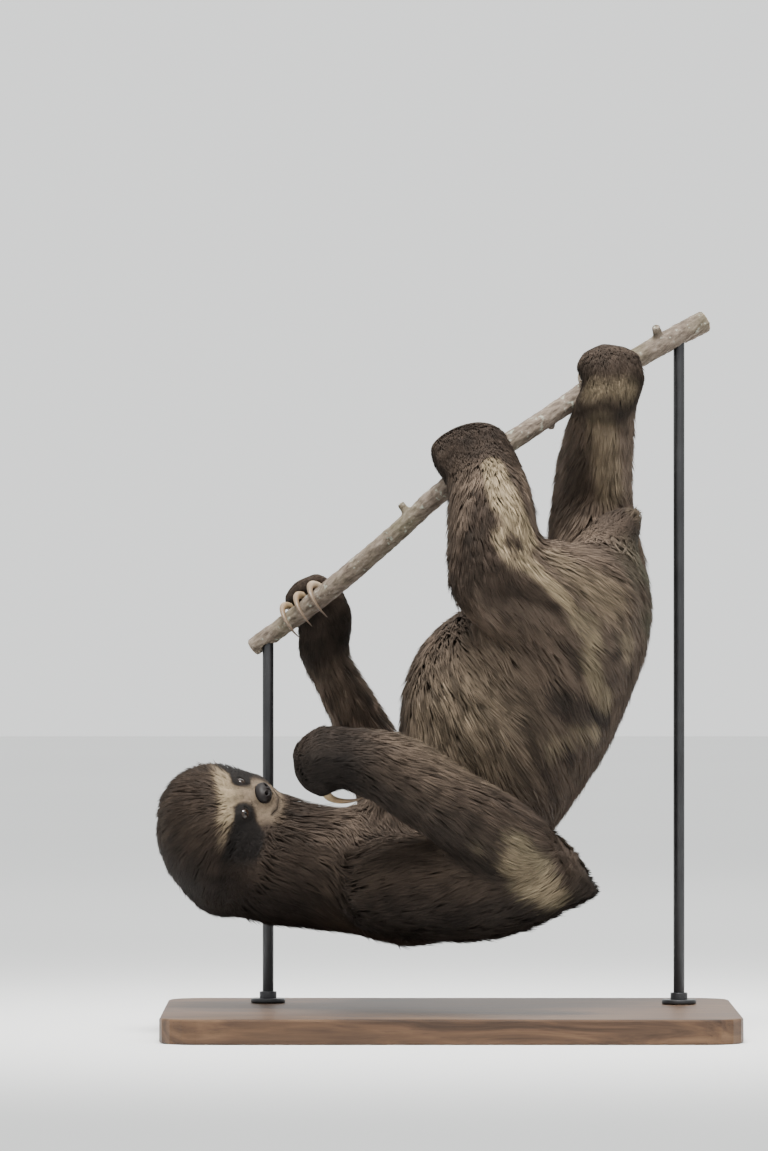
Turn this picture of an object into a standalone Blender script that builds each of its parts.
"""Three-toed sloth at life size, hanging by its hind feet and left hand from a cut
branch, which two rods carry above a flat display base.

Metres, +Z up. The origin is the centre of the base's underside; the animal's head lies
towards -X, its back turns down and towards +X, and its right side faces -Y.

The flesh is modelled whole from a few masses, blended, and then parted with thin cuts
into the pieces that a person would name.
"""

import math

import bmesh
import bpy
from mathutils import Matrix, Vector

# ---------------------------------------------------------------- driving dimensions
GAP = 0.0003  # clearance between neighbouring solids
BLEND_VOXEL = 0.0045  # grid on which the masses are blended
FLESH_FACES = 2690  # triangles kept for the whole animal
FACE_REACH = 0.034  # how far the finer triangles of the face reach
FACE_FINENESS = 0.00005  # how strongly the face is kept from being thinned
ZONE_GROWTH = 0.0045  # how far the room of a limb reaches beyond its masses
ZONE_FACES = 130  # triangles kept for the room of a limb

BASE_SIZE = Vector((0.460, 0.330, 0.020))
BASE_CORNER = 0.030
ROD_RADIUS = 0.0045
ROD_SOCKET = 0.012  # depth of the rods in the base
FLANGE_RADIUS = 0.014
FLANGE_HEIGHT = 0.004

BRANCH_RADIUS = 0.0085

EYE_RADIUS = 0.0062
CLAW_SIDES = 6
CLAW_STEPS = 7

FOOT_CLAW_BEND = 0.0165  # radius of a hind claw's own curve
HAND_CLAW_BEND = 0.0200
CLAW_WIDTH = 0.0068
CLAW_DEPTH = 0.0088
TOE_SPACING = 0.0150


def mm(x, y, z):
    """A place given in millimetres, as a vector in metres."""
    return Vector((x, y, z)) / 1000.0


# ------------------------------------------------------------------ places of the body
# The line of the trunk and neck, from the rump to the back of the head:
# (place, half width across the back-to-belly plane, half width from side to side).
TRUNK = [
    (mm(130, 0, 397), 0.016, 0.020),
    (mm(125, 0, 380), 0.033, 0.046),
    (mm(118, 0, 353), 0.047, 0.070),
    (mm(104, 0, 321), 0.058, 0.079),
    (mm(77, 0, 291), 0.076, 0.086),
    (mm(47, 0, 259), 0.087, 0.089),
    (mm(28, 0, 213), 0.075, 0.085),
    (mm(3, 0, 171), 0.065, 0.077),
    (mm(-29, 0, 135), 0.066, 0.072),
    (mm(-73, 0, 131), 0.051, 0.061),
    (mm(-112, -2, 134), 0.050, 0.052),
    (mm(-142, -3, 140), 0.053, 0.045),
    (mm(-168, -2, 144), 0.048, 0.039),
]
TAIL = [
    (mm(124, 0, 380), 0.027),
    (mm(132, 0, 399), 0.022),
    (mm(141, 0, 410), 0.015),
    (mm(149, 0, 417), 0.009),
    (mm(155, 0, 421), 0.003),
]

HEAD_CENTRE = mm(-184, -2, 165)
FACE_WAY = Vector((0.36, -0.67, 0.65)).normalized()
CROWN_WAY = Vector((-0.927, -0.331, 0.167))
CROWN_WAY = (CROWN_WAY - CROWN_WAY.dot(FACE_WAY) * FACE_WAY).normalized()
LEFT_WAY = CROWN_WAY.cross(FACE_WAY)  # out of the animal's left cheek

RIGHT_UPPER_ARM = [
    (mm(-52, -48, 122), 0.042),
    (mm(14, -80, 120), 0.044),
    (mm(60, -101, 126), 0.038),
    (mm(80, -107, 126), 0.033),
    (mm(99, -109, 122), 0.019),
    (mm(111, -110, 118), 0.010),
    (mm(119, -110, 116), 0.003),
]
RIGHT_FOREARM = [
    (mm(80, -107, 128), 0.030),
    (mm(40, -122, 161), 0.032),
    (mm(-8, -128, 191), 0.031),
    (mm(-44, -126, 214), 0.030),
    (mm(-76, -120, 223), 0.025),
]
RIGHT_HAND = [
    (mm(-76, -120, 223), 0.0245, 0.0245),
    (mm(-99, -117, 226), 0.0240, 0.0240),
    (mm(-107, -112, 218), 0.0190, 0.0230),
    (mm(-102, -102, 210), 0.0125, 0.0225),
]
LEFT_UPPER_ARM = [
    (mm(-58, 44, 124), 0.041),
    (mm(-50, 100, 146), 0.034),
    (mm(-40, 150, 171), 0.029),
]
LEFT_FOREARM = [
    (mm(-40, 150, 171), 0.029),
    (mm(-57, 135, 212), 0.027),
    (mm(-80, 115, 262), 0.021),
    (mm(-103, 99, 304), 0.018),
]
RIGHT_THIGH = [
    (mm(104, -36, 340), 0.052),
    (mm(72, -62, 350), 0.047),
    (mm(32, -84, 362), 0.035),
]
RIGHT_SHANK = [
    (mm(32, -84, 362), 0.035),
    (mm(33, -66, 398), 0.036),
    (mm(32, -44, 424), 0.035),
    (mm(30, -28, 443), 0.031),
]
LEFT_THIGH = [
    (mm(117, 40, 355), 0.046),
    (mm(117, 56, 389), 0.040),
    (mm(115, 70, 426), 0.033),
]
LEFT_SHANK = [
    (mm(115, 70, 426), 0.033),
    (mm(119, 46, 466), 0.030),
    (mm(125, 18, 503), 0.025),
]

# The branch, from its low left end to its high right end, and its thickness there.
BRANCH = [
    (mm(-160, 88, 309), 0.94),
    (mm(-120, 72, 338), 1.00),
    (mm(-84, 54, 367), 1.05),
    (mm(-40, 30, 405), 0.98),
    (mm(-12, 15, 431), 1.02),
    (mm(18, 8, 455), 1.00),
    (mm(46, 10, 474), 1.04),
    (mm(72, 18, 491), 1.00),
    (mm(100, 30, 510), 1.04),
    (mm(126, 41, 527), 1.02),
    (mm(160, 54, 549), 1.08),
    (mm(208, 71, 575), 1.14),
]
TWIG_STUBS = [(0.30, Vector((-0.6, 0.2, 0.8)), 0.016), (0.66, Vector((0.3, 0.7, -0.6)), 0.013),
              (0.93, Vector((-0.2, -0.5, 0.8)), 0.018)]
ROD_PLACES = {"stand_rod_left": 0.035, "stand_rod_right": 0.955}  # shares of the branch

FUR_BROWN = (0.135, 0.100, 0.075)
FUR_GREY = (0.205, 0.165, 0.130)
FUR_DARK = (0.060, 0.045, 0.036)


# --------------------------------------------------------------------- small tools
def clear_scene():
    for obj in list(bpy.data.objects):
        bpy.data.objects.remove(obj)


def collection(name):
    made = bpy.data.collections.new(name)
    bpy.context.scene.collection.children.link(made)
    return made


def material(name, colour, roughness=0.8, metallic=0.0):
    made = bpy.data.materials.new(name)
    made.use_nodes = True
    shader = made.node_tree.nodes["Principled BSDF"]
    shader.inputs["Base Color"].default_value = (*colour, 1.0)
    shader.inputs["Roughness"].default_value = roughness
    shader.inputs["Metallic"].default_value = metallic
    made.diffuse_color = (*colour, 1.0)
    return made


def mesh_object(name, bm, where):
    mesh = bpy.data.meshes.new(name)
    bm.to_mesh(mesh)
    bm.free()
    obj = bpy.data.objects.new(name, mesh)
    where.objects.link(obj)
    return obj


def as_helper(obj):
    obj.hide_render = True
    obj.display_type = "WIRE"
    return obj


def evaluated(obj):
    """The object's mesh with its modifiers, as a plain mesh."""
    bpy.context.view_layer.update()
    graph = bpy.context.evaluated_depsgraph_get()
    return bpy.data.meshes.new_from_object(obj.evaluated_get(graph))


def bake(obj):
    """Replaces the object's mesh by what its modifiers make of it."""
    mesh = evaluated(obj)
    obj.modifiers.clear()
    obj.data = mesh
    return obj


def between(stations, share):
    """Place and sizes at a share of the way along the stations, on a smooth curve."""
    place = share * (len(stations) - 1)
    i = min(int(place), len(stations) - 2)
    u = place - i
    picked = [stations[max(0, min(len(stations) - 1, k))] for k in (i - 1, i, i + 1, i + 2)]
    weights = (
        (-u**3 + 2 * u**2 - u) / 2,
        (3 * u**3 - 5 * u**2 + 2) / 2,
        (-3 * u**3 + 4 * u**2 + u) / 2,
        (u**3 - u**2) / 2,
    )
    spot = sum((w * s[0] for w, s in zip(weights, picked)), Vector())
    sizes = [
        sum(w * s[k] for w, s in zip(weights, picked)) for k in range(1, len(stations[0]))
    ]
    return spot, sizes


def heading(stations, share):
    step = 0.01
    ahead = between(stations, min(1.0, share + step))[0]
    return (ahead - between(stations, max(0.0, share - step))[0]).normalized()


def tube(bm, stations, grow=0.0, side=Vector((0, 1, 0)), sides=24, rings_each=4, dome=3):
    """Adds a closed round-ended loft through the stations. A station is a place with a
    half width in the plane across `side`, and maybe another half width along it."""
    count = rings_each * (len(stations) - 1)
    rings = []
    for k in range(count + 1):
        share = k / count
        spot, sizes = between(stations, share)
        ahead = heading(stations, share)
        across = ahead.cross(side).normalized()
        along = across.cross(ahead)
        wide, deep = sizes[0] + grow, sizes[-1] + grow
        rings.append((spot, across * wide, along * deep, ahead))

    def domed(ring, outward):
        spot, wide, deep, ahead = ring
        reach = 0.9 * min(wide.length, deep.length)
        for j in range(1, dome + 1):
            turn = j / (dome + 0.6) * math.pi / 2
            shift = outward * reach * math.sin(turn)
            yield spot + ahead * shift, wide * math.cos(turn), deep * math.cos(turn), ahead

    rings = list(domed(rings[0], -1))[::-1] + rings + list(domed(rings[-1], 1))
    loops = []
    for spot, wide, deep, _ in rings:
        turns = [2 * math.pi * j / sides for j in range(sides)]
        loops.append([bm.verts.new(spot + wide * math.cos(t) + deep * math.sin(t)) for t in turns])
    for low, high in zip(loops, loops[1:]):
        for j in range(sides):
            bm.faces.new((low[j], high[j], high[j - 1], low[j - 1]))
    bm.faces.new(loops[0])
    bm.faces.new(loops[-1][::-1])


def ball(bm, centre, radii, axes, segments=32):
    """Adds an ellipsoid whose half axes lie along the given directions."""
    frame = Matrix([axis * r for axis, r in zip(axes, radii)]).transposed().to_4x4()
    frame.translation = centre
    bmesh.ops.create_uvsphere(
        bm, u_segments=segments, v_segments=segments // 2, radius=1.0, matrix=frame
    )


def boolean(obj, cutter, operation="DIFFERENCE"):
    modifier = obj.modifiers.new(operation.title(), "BOOLEAN")
    modifier.operation = operation
    modifier.object = cutter
    modifier.solver = "EXACT"
    return bake(obj)


def outward(bm):
    bmesh.ops.recalc_face_normals(bm, faces=bm.faces)
    return bm


# --------------------------------------------------------------------------- claws
class Grip:
    """How a foot hooks over the branch: its place and the directions of the hook."""

    def __init__(self, share, palm_way):
        self.place, sizes = between(BRANCH, share)
        self.along = heading(BRANCH, share)
        self.branch_radius = sizes[0] * BRANCH_RADIUS
        over = Vector((0, 0, 1))
        self.over = (over - over.dot(self.along) * self.along).normalized()
        self.through = self.over.cross(self.along).normalized()
        if self.through.y * palm_way < 0:
            self.through = -self.through

    def point(self, along, through, over):
        """A place in millimetres from the branch's middle line at the grip."""
        return (
            self.place
            + (self.along * along + self.through * through + self.over * over) / 1000
        )


RIGHT_FOOT_GRIP = Grip(0.470, 1)
LEFT_FOOT_GRIP = Grip(0.8182, 1)
LEFT_HAND_GRIP = Grip(0.1030, -1)


def foot_stations(grip, ankle, width, lift):
    """A hind foot from the ankle, up in front of the branch and over its top, with its
    knuckles `lift` millimetres above the branch's middle line."""
    return [
        (ankle, 0.0250, width * 0.90),
        (grip.point(0, -26, 2), 0.0190, width),
        (grip.point(0, -18, lift - 9), 0.0160, width),
        (grip.point(0, -4, lift - 3), 0.0125, width * 0.90),
    ]


RIGHT_FOOT = foot_stations(RIGHT_FOOT_GRIP, mm(30, -28, 445), 0.0320, 25)
LEFT_FOOT = foot_stations(LEFT_FOOT_GRIP, mm(126, 16, 505), 0.0240, 20)
LEFT_HAND = [
    (mm(-103, 99, 304), 0.0180, 0.0205),
    (LEFT_HAND_GRIP.point(0, -25, -8), 0.0160, 0.0230),
    (LEFT_HAND_GRIP.point(0, -21, 9), 0.0130, 0.0230),
    (LEFT_HAND_GRIP.point(0, -12, 18), 0.0100, 0.0215),
]


def claw(bm, centre, first, second, bend, start, end, side, grow=0.0):
    """Adds one claw, an arc about `centre` in the plane of `first` and `second`, from
    the angle `start` to `end` in degrees, thick at its root and pointed at its tip."""
    loops = []
    for k in range(CLAW_STEPS + 1):
        share = k / CLAW_STEPS
        turn = math.radians(start + (end - start) * share)
        out = first * math.cos(turn) + second * math.sin(turn)
        reach = bend * (1.0 - 0.10 * share**2)
        thin = (1.0 - share**1.6) * 0.92 + 0.08
        wide = side * (CLAW_WIDTH / 2 * thin + grow)
        deep = out * (CLAW_DEPTH / 2 * thin + grow)
        spot = centre + out * reach
        turns = [2 * math.pi * j / CLAW_SIDES for j in range(CLAW_SIDES)]
        loops.append([bm.verts.new(spot + wide * math.cos(t) + deep * math.sin(t)) for t in turns])
    for low, high in zip(loops, loops[1:]):
        for j in range(CLAW_SIDES):
            bm.faces.new((low[j], high[j], high[j - 1], low[j - 1]))
    bm.faces.new(loops[0])
    bm.faces.new(loops[-1][::-1])


def gripping_claws(limb, grip, bend, end):
    """Three claws hooked over the branch, their inner curve resting on its top."""
    made = []
    drop = bend - CLAW_DEPTH / 2 - grip.branch_radius - 1.5 * GAP
    for toe in (-1, 0, 1):
        centre = grip.place + grip.along * (toe * TOE_SPACING) - grip.over * drop
        made.append((f"claw_{limb}_{toe + 2}",
                     (centre, -grip.through, grip.over, bend, 42, end + 6 * abs(toe), grip.along)))
    return made


def free_claws(limb, root, out_way, curl_way, bend):
    """Three claws of a hand that holds nothing, hanging on from the folded fingers."""
    side = out_way.cross(curl_way).normalized()
    made = []
    for toe in (-1, 0, 1):
        centre = root + curl_way * bend + side * (toe * TOE_SPACING * 0.94)
        made.append((f"claw_{limb}_{toe + 2}",
                     (centre, -curl_way, out_way, bend, -14, 128 - 8 * abs(toe), side)))
    return made


HAND_POINTS = Vector((0.20, 0.86, -0.47)).normalized()  # the way the right claws leave
HAND_CURLS = Vector((0.90, -0.15, 0.20))
HAND_CURLS = (HAND_CURLS - HAND_CURLS.dot(HAND_POINTS) * HAND_POINTS).normalized()


def all_claws():
    return (
        gripping_claws("right_foot", RIGHT_FOOT_GRIP, FOOT_CLAW_BEND, 216)
        + gripping_claws("left_foot", LEFT_FOOT_GRIP, FOOT_CLAW_BEND, 216)
        + gripping_claws("left_hand", LEFT_HAND_GRIP, HAND_CLAW_BEND, 222)
        + free_claws("right_hand", mm(-100, -97, 207), HAND_POINTS, HAND_CURLS, HAND_CLAW_BEND)
    )


# --------------------------------------------------------------------- head pieces
def on_head(left, face, crown):
    """A place on the head, in millimetres to its left, forward and up from its middle."""
    return HEAD_CENTRE + (LEFT_WAY * left + FACE_WAY * face + CROWN_WAY * crown) / 1000


HEAD_AXES = (LEFT_WAY, FACE_WAY, CROWN_WAY)
EYES = {"eye_left": on_head(15.5, 36.4, -4.0), "eye_right": on_head(-15.5, 36.4, -4.0)}
NOSE_PLACE = on_head(0, 49.5, -18.0)
NOSE_RADII = (0.0098, 0.0060, 0.0070)


def head_masses(bm):
    ball(bm, on_head(4, 0, 2), (0.055, 0.040, 0.0505), HEAD_AXES)
    ball(bm, on_head(0, -6, 0.5), (0.057, 0.045, 0.0505), HEAD_AXES)
    ball(bm, on_head(-13, -11, 6), (0.040, 0.040, 0.040), HEAD_AXES)
    ball(bm, on_head(-18.5, -26, -14), (0.040, 0.040, 0.040), HEAD_AXES)
    for sideways in (-1, 1):
        ball(bm, on_head(20 * sideways, 16, -18), (0.024, 0.022, 0.025), HEAD_AXES)
        ball(bm, on_head(16 * sideways, 33, 5.5), (0.012, 0.0085, 0.0065), HEAD_AXES)
    ball(bm, on_head(0, 32, -21), (0.0205, 0.0175, 0.0175), HEAD_AXES)
    ball(bm, on_head(0, 37, -8), (0.0110, 0.0100, 0.0160), HEAD_AXES)


# ------------------------------------------------------------------------ the flesh
HAND_SIDE = HAND_POINTS.cross(HAND_CURLS)
LIMB_SIDE = Vector((0.35, 0.45, 0.82))  # never along a limb


def levelled(grip):
    """The direction of a foot's width, between the branch's line and level."""
    return (grip.along + Vector((0.9, 0, 0))).normalized()


CHAINS = {
    "upper_arm_right": (RIGHT_UPPER_ARM, LIMB_SIDE),
    "forearm_right": (RIGHT_FOREARM, LIMB_SIDE),
    "hand_right": (RIGHT_HAND, HAND_SIDE),
    "upper_arm_left": (LEFT_UPPER_ARM, LIMB_SIDE),
    "forearm_left": (LEFT_FOREARM, LIMB_SIDE),
    "hand_left": (LEFT_HAND, LEFT_HAND_GRIP.along),
    "thigh_right": (RIGHT_THIGH, LIMB_SIDE),
    "shank_right": (RIGHT_SHANK, LIMB_SIDE),
    "foot_right": (RIGHT_FOOT, levelled(RIGHT_FOOT_GRIP)),
    "thigh_left": (LEFT_THIGH, LIMB_SIDE),
    "shank_left": (LEFT_SHANK, LIMB_SIDE),
    "foot_left": (LEFT_FOOT, levelled(LEFT_FOOT_GRIP)),
}


def blended(obj, voxel, smoothing):
    remesh = obj.modifiers.new("Blend", "REMESH")
    remesh.mode = "VOXEL"
    remesh.voxel_size = voxel
    smooth = obj.modifiers.new("Smooth", "SMOOTH")
    smooth.factor = 0.5
    smooth.iterations = smoothing
    return bake(obj)


def whole_animal(helpers):
    """Every mass of flesh and coat run together into one skin."""
    bm = bmesh.new()
    tube(bm, TRUNK, sides=36)
    tube(bm, TAIL)
    head_masses(bm)
    for stations, side in CHAINS.values():
        tube(bm, stations, 0.0, side, sides=20)
    flesh = as_helper(mesh_object("flesh", outward(bm), helpers))
    return fewer_faces(blended(flesh, BLEND_VOXEL, 7), FLESH_FACES, face_corners)


def face_corners(spot):
    """Whether a place is on the animal's face, which keeps finer triangles."""
    return (spot - on_head(0, 36, -8)).length < FACE_REACH


def fewer_faces(obj, wanted, finer=None):
    """Thins the object's mesh out to about the wanted number of triangles, less so where
    `finer` is true."""
    thin = obj.modifiers.new("Fewer", "DECIMATE")
    thin.ratio = wanted / sum(len(p.vertices) - 2 for p in obj.data.polygons)
    if finer:
        group = obj.vertex_groups.new(name="freely_thinned")
        group.add([v.index for v in obj.data.vertices if not finer(v.co)], 1.0, "REPLACE")
        thin.vertex_group = group.name
        thin.vertex_group_factor = FACE_FINENESS
    return bake(obj)


def zone(chains, side_limit, helpers):
    """The room that some chains of masses take, a little larger than the masses, and the
    same room with a gap around it. With a side limit, the first chain keeps only what
    lies further out on the limit's side."""
    grow = ZONE_GROWTH
    bm = bmesh.new()
    tube(bm, chains[0][0], grow, chains[0][1], sides=20)
    if side_limit:
        outer = math.copysign(1, side_limit)
        level = Vector((0, side_limit - outer * grow, 0))
        bmesh.ops.bisect_plane(
            bm, geom=bm.verts[:] + bm.edges[:] + bm.faces[:],
            plane_co=level, plane_no=Vector((0, -outer, 0)), clear_outer=True,
        )
        bmesh.ops.holes_fill(bm, edges=[e for e in bm.edges if e.is_boundary])
    for stations, side in chains[1:]:
        tube(bm, stations, grow, side, sides=20)
    room = blended(as_helper(mesh_object("zone", outward(bm), helpers)), 0.006, 3)
    fewer_faces(room, ZONE_FACES)
    wider = room.copy()
    wider.data = room.data.copy()
    helpers.objects.link(wider)
    for inner, outer in zip(room.data.vertices, wider.data.vertices):
        outer.co = inner.co + inner.normal * GAP * 1.5
    return room, wider


def plate(helpers, place, facing, reach):
    """A thin round plate whose removal parts the flesh across `facing`."""
    bm = bmesh.new()
    turn = facing.normalized().to_track_quat("Z", "Y").to_matrix().to_4x4()
    turn.translation = place
    bmesh.ops.create_cone(
        bm, cap_ends=True, segments=24, radius1=reach, radius2=reach, depth=1.4 * GAP, matrix=turn
    )
    return as_helper(mesh_object("plate", bm, helpers))


def drop_flaps(bm):
    """Drops each pair of faces that lie back to back on the same corners."""
    twins = {}
    for face in bm.faces:
        twins.setdefault(frozenset(face.verts), []).append(face)
    flaps = [face for faces in twins.values() if len(faces) > 1 for face in faces]
    bmesh.ops.delete(bm, geom=flaps, context="FACES_ONLY")


def loose_parts(obj, where, smallest=2.0e-7):
    """Splits the object into its separate bodies and drops crumbs."""
    bm = bmesh.new()
    bm.from_mesh(obj.data)
    drop_flaps(bm)
    bm.faces.ensure_lookup_table()
    left, parts = set(bm.faces), []
    while left:
        found, todo = set(), [left.pop()]
        while todo:
            face = todo.pop()
            found.add(face)
            for edge in face.edges:
                for other in edge.link_faces:
                    if other in left:
                        left.discard(other)
                        todo.append(other)
        parts.append(found)
    made = []
    for faces in parts:
        piece = bmesh.new()
        copies = {}
        for face in faces:
            corners = []
            for vert in face.verts:
                if vert not in copies:
                    copies[vert] = piece.verts.new(vert.co)
                corners.append(copies[vert])
            piece.faces.new(corners)
        if piece.calc_volume() < smallest:
            piece.free()
            continue
        made.append(mesh_object("piece", piece, where))
    bm.free()
    bpy.data.objects.remove(obj)
    return made


def middle(obj):
    spots = [v.co for v in obj.data.vertices]
    return sum(spots, Vector()) / len(spots)


def name_by_place(parts, places):
    """Gives each named place the nearest part, and stops if the counts differ."""
    if len(parts) != len(places):
        sizes = [[round(1000 * c) for c in middle(part)] for part in parts]
        raise ValueError(f"{len(parts)} parts at {sizes} for {sorted(places)}")
    for name, place in places.items():
        nearest = min(parts, key=lambda part: (middle(part) - place).length)
        parts.remove(nearest)
        nearest.name = nearest.data.name = name


def station_middle(stations):
    return sum((s[0] for s in stations), Vector()) / len(stations)


# How the limbs come off, one after another: the pieces of a limb, how far to the side
# the parting from the trunk lies, and the cuts at the limb's own joints, each with its
# place, the direction across it and its reach.
PARTINGS = [
    (("forearm_right", "hand_right"), None,
     [(mm(-74, -120, 223), Vector((1.0, 0.05, -0.1)), 0.045)]),
    (("upper_arm_right",), -0.030, []),
    (("upper_arm_left", "forearm_left", "hand_left"), 0.030,
     [(mm(-40, 150, 171), Vector((-0.18, 0.41, 0.90)), 0.062),
      (mm(-103, 99, 304), Vector((-0.35, -0.35, 0.85)), 0.045)]),
    (("thigh_right", "shank_right", "foot_right"), -0.022,
     [(mm(32, -84, 362), Vector((-0.60, -0.10, 0.85)), 0.095),
      (mm(30, -28, 444), Vector((0, 0.45, 0.85)), 0.050)]),
    (("thigh_left", "shank_left", "foot_left"), 0.022,
     [(mm(115, 70, 426), Vector((0, 0.1, 1.0)), 0.075),
      (mm(125, 18, 503), Vector((0, -0.5, 0.85)), 0.042)]),
]
CORE_CUTS = [
    (mm(-158, -4, 148), Vector((0.93, 0, -0.36)), 0.090),
    (mm(-102, 0, 135), Vector((1.0, 0, -0.1)), 0.085),
    (mm(133, 0, 401), Vector((0.45, 0, 0.89)), 0.032),
]


def part_flesh(flesh, model, helpers):
    """Takes the limbs off the body and parts limbs and body at their joints."""
    for names, side_limit, cuts in PARTINGS:
        chains = [CHAINS[name] for name in names]
        if names[0] == "forearm_right":
            chains[0] = (RIGHT_FOREARM[1:], LIMB_SIDE)
        if names[0] == "upper_arm_right":
            chains.append((RIGHT_FOREARM[:2], LIMB_SIDE))
        piece = flesh.copy()
        piece.data = flesh.data.copy()
        helpers.objects.link(piece)
        room, wider_room = zone(chains, side_limit, helpers)
        boolean(piece, room, "INTERSECT")
        boolean(flesh, wider_room)
        for cut in cuts:
            boolean(piece, plate(helpers, *cut))
        places = {name: station_middle(CHAINS[name][0]) for name in names}
        name_by_place(loose_parts(piece, model), places)
    for cut in CORE_CUTS:
        boolean(flesh, plate(helpers, *cut))
    places = {
        "trunk": station_middle(TRUNK[2:9]),
        "neck": mm(-130, 0, 140),
        "head": HEAD_CENTRE,
        "tail": mm(146, 0, 414),
    }
    name_by_place(loose_parts(flesh, model), places)


# ------------------------------------------------------------------- stand and perch
def branch(where, name, grow=0.0):
    """The cut branch: a tapering tube on a smooth curve, with short twig stubs."""
    count = 20
    data = bpy.data.curves.new(name, "CURVE")
    data.dimensions = "3D"
    data.bevel_depth = BRANCH_RADIUS
    data.bevel_resolution = 3
    data.use_fill_caps = True
    spline = data.splines.new("POLY")
    spline.points.add(count)
    for k, point in enumerate(spline.points):
        spot, (thick,) = between(BRANCH, k / count)
        point.co = (*spot, 1.0)
        point.radius = thick + grow / BRANCH_RADIUS
    curve = bpy.data.objects.new(name, data)
    where.objects.link(curve)
    mesh = evaluated(curve)
    bpy.data.objects.remove(curve)
    bm = bmesh.new()
    bm.from_mesh(mesh)
    bmesh.ops.remove_doubles(bm, verts=bm.verts, dist=0.00005)
    return mesh_object(name, outward(bm), where)


def twig_stub(share, way, length, helpers):
    spot, (thick,) = between(BRANCH, share)
    ahead = heading(BRANCH, share)
    way = (way - 0.4 * way.dot(ahead) * ahead).normalized()
    radius = 0.42 * thick * BRANCH_RADIUS
    turn = way.to_track_quat("Z", "Y").to_matrix().to_4x4()
    turn.translation = spot + way * (length / 2)
    bm = bmesh.new()
    bmesh.ops.create_cone(
        bm, cap_ends=True, segments=10, radius1=radius * 1.3, radius2=radius, depth=length, matrix=turn
    )
    return as_helper(mesh_object("stub", bm, helpers))


def cylinder(name, where, low, high, radius, segments=32):
    bm = bmesh.new()
    turn = Matrix.Translation((low + high) / 2)
    bmesh.ops.create_cone(
        bm, cap_ends=True, segments=segments, radius1=radius, radius2=radius,
        depth=(high - low).length, matrix=turn,
    )
    return mesh_object(name, bm, where)


def rod_ends(share):
    """The foot of a rod in the base, and its head inside the branch."""
    spot, _ = between(BRANCH, share)
    foot = Vector((spot.x, spot.y, BASE_SIZE.z - ROD_SOCKET))
    return foot, spot + Vector((0, 0, 0.001))


def stand(model, helpers):
    """The base with its rods, which are seated in holes in base and branch."""
    base_data = bpy.data.curves.new("stand_base", "CURVE")
    base_data.dimensions = "2D"
    base_data.fill_mode = "BOTH"
    base_data.extrude = BASE_SIZE.z / 2 - 0.0015
    base_data.bevel_depth = 0.0015
    base_data.bevel_resolution = 1
    base_data.offset = -0.0015
    outline = []
    corner_steps = 4
    for quarter in range(4):
        sx, sy = ((1, 1), (-1, 1), (-1, -1), (1, -1))[quarter]
        centre = Vector((sx * (BASE_SIZE.x / 2 - BASE_CORNER), sy * (BASE_SIZE.y / 2 - BASE_CORNER)))
        for j in range(corner_steps + 1):
            turn = math.pi / 2 * (quarter + j / corner_steps)
            outline.append(centre + BASE_CORNER * Vector((math.cos(turn), math.sin(turn))))
    spline = base_data.splines.new("POLY")
    spline.points.add(len(outline) - 1)
    spline.use_cyclic_u = True
    for point, spot in zip(spline.points, outline):
        point.co = (spot.x, spot.y, 0.0, 1.0)
    curve = bpy.data.objects.new("stand_base_outline", base_data)
    helpers.objects.link(curve)
    mesh = evaluated(curve)
    bpy.data.objects.remove(curve)
    mesh.transform(Matrix.Translation((0, 0, BASE_SIZE.z / 2)))
    bm = bmesh.new()
    bm.from_mesh(mesh)
    bmesh.ops.remove_doubles(bm, verts=bm.verts, dist=0.00005)
    base = mesh_object("stand_base", outward(bm), model)

    perch = branch(model, "perch_branch")
    for share, way, length in TWIG_STUBS:
        boolean(perch, twig_stub(share, way, length, helpers), "UNION")
    for name, share in ROD_PLACES.items():
        foot, head = rod_ends(share)
        rod = cylinder(name, model, foot, head, ROD_RADIUS, 16)
        low = Vector((foot.x, foot.y, BASE_SIZE.z + GAP))
        flange = cylinder("flange", helpers, low, low + Vector((0, 0, FLANGE_HEIGHT)), FLANGE_RADIUS, 24)
        boolean(rod, as_helper(flange), "UNION")
        room = Vector((0, 0, GAP))
        hole = as_helper(cylinder("hole", helpers, foot - room, head + room, ROD_RADIUS + GAP, 16))
        boolean(base, hole)
        boolean(perch, hole)
    return perch


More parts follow.
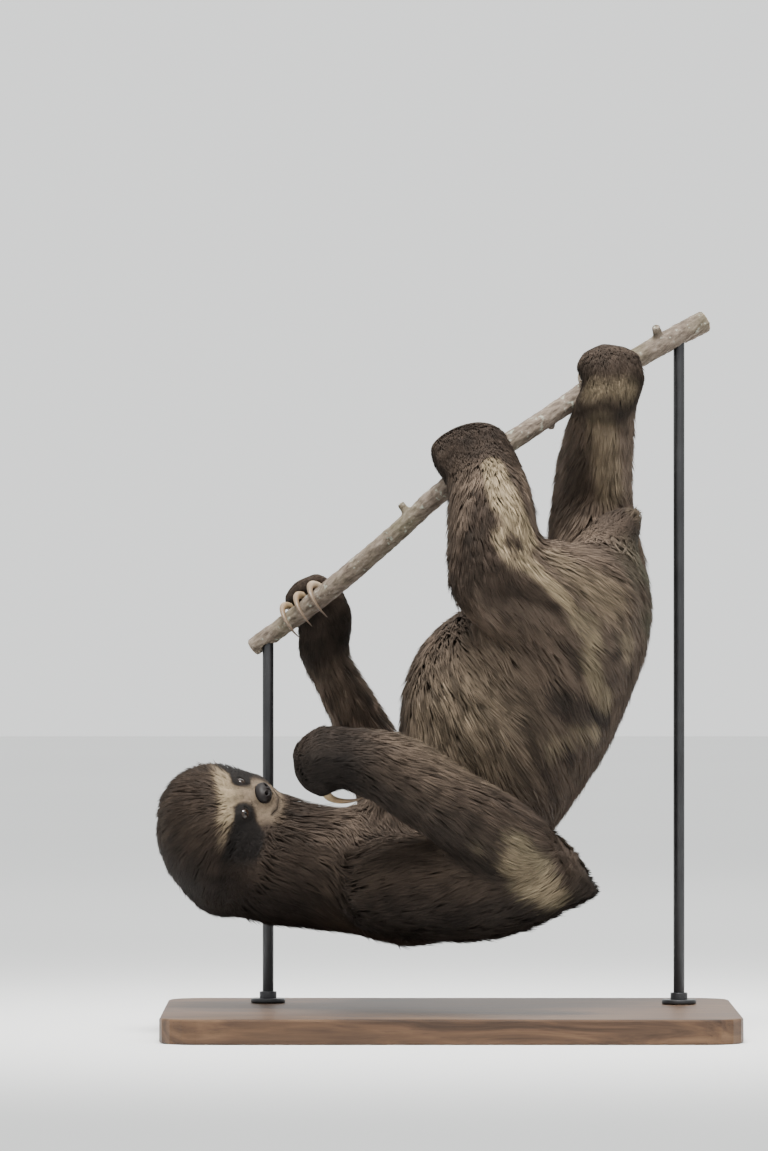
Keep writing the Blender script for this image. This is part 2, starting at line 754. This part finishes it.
# ---------------------------------------------------------------------- the model
def finish_looks(model):
    """Materials by the names of the pieces, and smooth shading on what is round."""
    brown = material("fur_brown", FUR_BROWN)
    grey = material("fur_grey", FUR_GREY)
    dark = material("fur_dark", FUR_DARK)
    horn = material("claw_horn", (0.33, 0.27, 0.19), 0.45)
    looks = {
        "head": brown, "neck": dark, "trunk": grey, "tail": grey,
        "upper_arm": brown, "forearm": brown, "hand": dark,
        "thigh": grey, "shank": grey, "foot": dark,
        "eye": material("eye", (0.012, 0.008, 0.006), 0.08),
        "nose": material("nose_leather", (0.020, 0.016, 0.014), 0.5),
        "claw": horn,
        "perch": material("bark", (0.19, 0.15, 0.115), 0.9),
        "stand_base": material("base_wood", (0.23, 0.13, 0.07), 0.45),
        "stand_rod": material("rod_steel", (0.10, 0.10, 0.10), 0.35, 1.0),
    }
    for obj in model.objects:
        start = max((key for key in looks if obj.name.startswith(key)), key=len)
        obj.data.materials.clear()
        obj.data.materials.append(looks[start])
        obj.data.shade_smooth()
        if start.startswith(("stand", "claw", "perch")):
            obj.data.set_sharp_from_angle(angle=math.radians(40))


def main():
    clear_scene()
    model = collection("three_toed_sloth")
    helpers = collection("helpers")
    helpers.hide_render = True

    flesh = whole_animal(helpers)
    stand(model, helpers)
    boolean(flesh, as_helper(branch(helpers, "branch_room", GAP)))

    for name, shape in all_claws():
        bm = bmesh.new()
        claw(bm, *shape)
        mesh_object(name, outward(bm), model)
        bm = bmesh.new()
        claw(bm, *shape, grow=GAP)
        boolean(flesh, as_helper(mesh_object(f"{name}_room", outward(bm), helpers)))

    for name, place in EYES.items():
        for radius, where in ((EYE_RADIUS, model), (EYE_RADIUS + GAP, helpers)):
            bm = bmesh.new()
            ball(bm, place, [radius] * 3, HEAD_AXES, 14)
            made = mesh_object(name if where is model else f"{name}_room", outward(bm), where)
        boolean(flesh, as_helper(made))
    for grow, where in ((0.0, model), (GAP, helpers)):
        bm = bmesh.new()
        ball(bm, NOSE_PLACE, [r + grow for r in NOSE_RADII], HEAD_AXES, 14)
        made = mesh_object("nose" if where is model else "nose_room", outward(bm), where)
    boolean(flesh, as_helper(made))

    part_flesh(flesh, model, helpers)
    finish_looks(model)


main()
